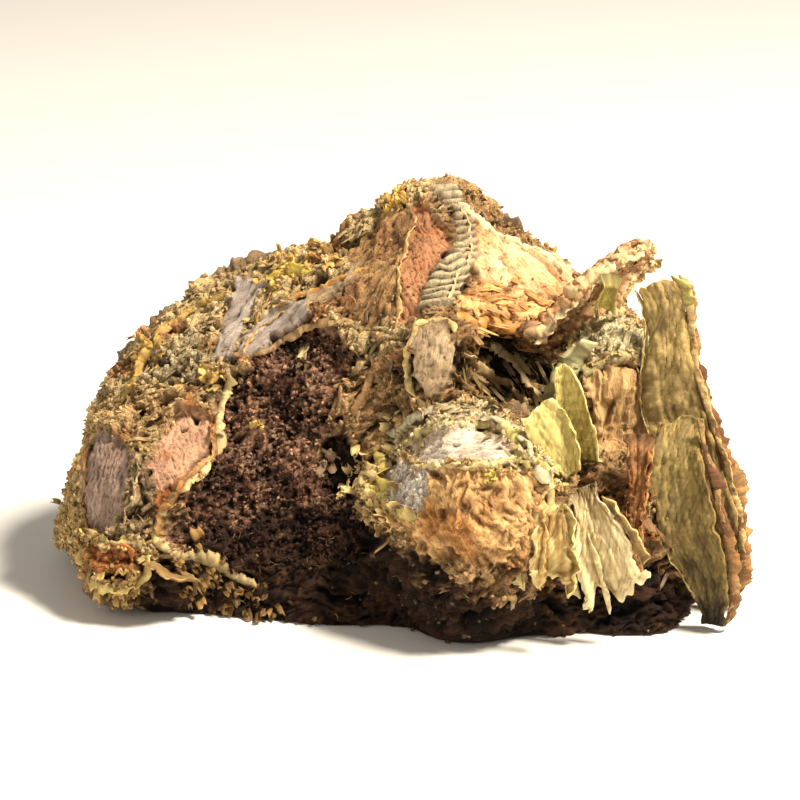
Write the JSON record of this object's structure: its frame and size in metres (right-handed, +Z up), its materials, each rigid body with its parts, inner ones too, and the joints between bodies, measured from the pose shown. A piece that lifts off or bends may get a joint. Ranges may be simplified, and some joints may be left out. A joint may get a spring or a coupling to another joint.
{
  "type": "dried rhodiola root",
  "caption": "Chopped piece of dried rhizome with a flat cut underside, torn pith face, cut bud, stem stub and papery scale leaves standing at one end.",
  "frame": {"origin": "middle of the bounding box at its bottom, on the flat cut underside", "axes": "+X along the length, towards the end with the papery scale leaves; -Y out of the torn pith face; +Z up"},
  "size_m": [0.0978, 0.0646, 0.057],
  "materials": {
    "dried_pith_and_bark": "dry, matt, fibrous and spongy pith, red-brown to orange, with grey-brown wrinkled bark behind",
    "peeled_bark": "thin olive-tan bark sheet, finely wrinkled, with a frayed orange-brown laminated edge",
    "torn_fibre": "ragged golden to pink-orange torn fibre",
    "papery_scale": "thin papery yellow to cream scale leaf, pleated along its length"
  },
  "bodies": {
    "root": {"rhizome": "dried_pith_and_bark", "tall_bark_sheet": "peeled_bark", "low_bark_sheet": "peeled_bark", "crest_tongue": "torn_fibre", "under_crest_scale": "papery_scale", "upper_yellow_scale": "papery_scale", "folded_yellow_scale": "papery_scale", "fan_scale": "papery_scale", "crust_scale": "torn_fibre", "strip_scale": "torn_fibre", "left_lip_scale": "papery_scale"}
  },
  "joints": []
}
